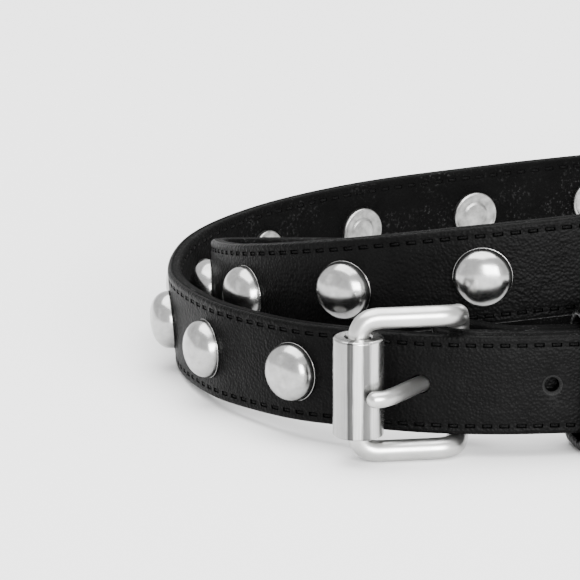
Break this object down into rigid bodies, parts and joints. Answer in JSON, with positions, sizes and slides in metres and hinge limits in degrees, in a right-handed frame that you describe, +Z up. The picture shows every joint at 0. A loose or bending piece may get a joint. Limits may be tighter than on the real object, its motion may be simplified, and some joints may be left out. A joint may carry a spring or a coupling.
{
  "type": "studded belt",
  "caption": "Narrow black leather belt with dome studs and a roller buckle, fastened and coiled into two turns that stand on edge.",
  "frame": {"origin": "middle of the coil's footprint, on the surface that the belt stands on", "axes": "+Z up, -Y towards the front of the buckle, +X towards the strap's loose end"},
  "size_m": [0.201, 0.185, 0.0439],
  "materials": {
    "strap_leather": "satin",
    "polished_studs": "polished",
    "buckle_metal": "satin"
  },
  "bodies": {
    "root": {"frame": "buckle_metal", "keeper": "strap_leather", "roller": "buckle_metal", "strap": "strap_leather", "stud_01": "polished_studs", "stud_02": "polished_studs", "stud_03": "polished_studs", "stud_04": "polished_studs", "stud_05": "polished_studs", "stud_06": "polished_studs", "stud_07": "polished_studs", "stud_08": "polished_studs", "stud_09": "polished_studs", "stud_10": "polished_studs", "stud_11": "polished_studs", "stud_12": "polished_studs", "stud_13": "polished_studs", "stud_14": "polished_studs", "stud_15": "polished_studs", "stud_16": "polished_studs", "stud_17": "polished_studs", "stud_18": "polished_studs", "stud_19": "polished_studs", "stud_20": "polished_studs", "stud_21": "polished_studs", "stud_22": "polished_studs", "stud_23": "polished_studs", "stud_24": "polished_studs", "stud_25": "polished_studs", "stud_26": "polished_studs", "tongue": "buckle_metal"}
  },
  "joints": []
}
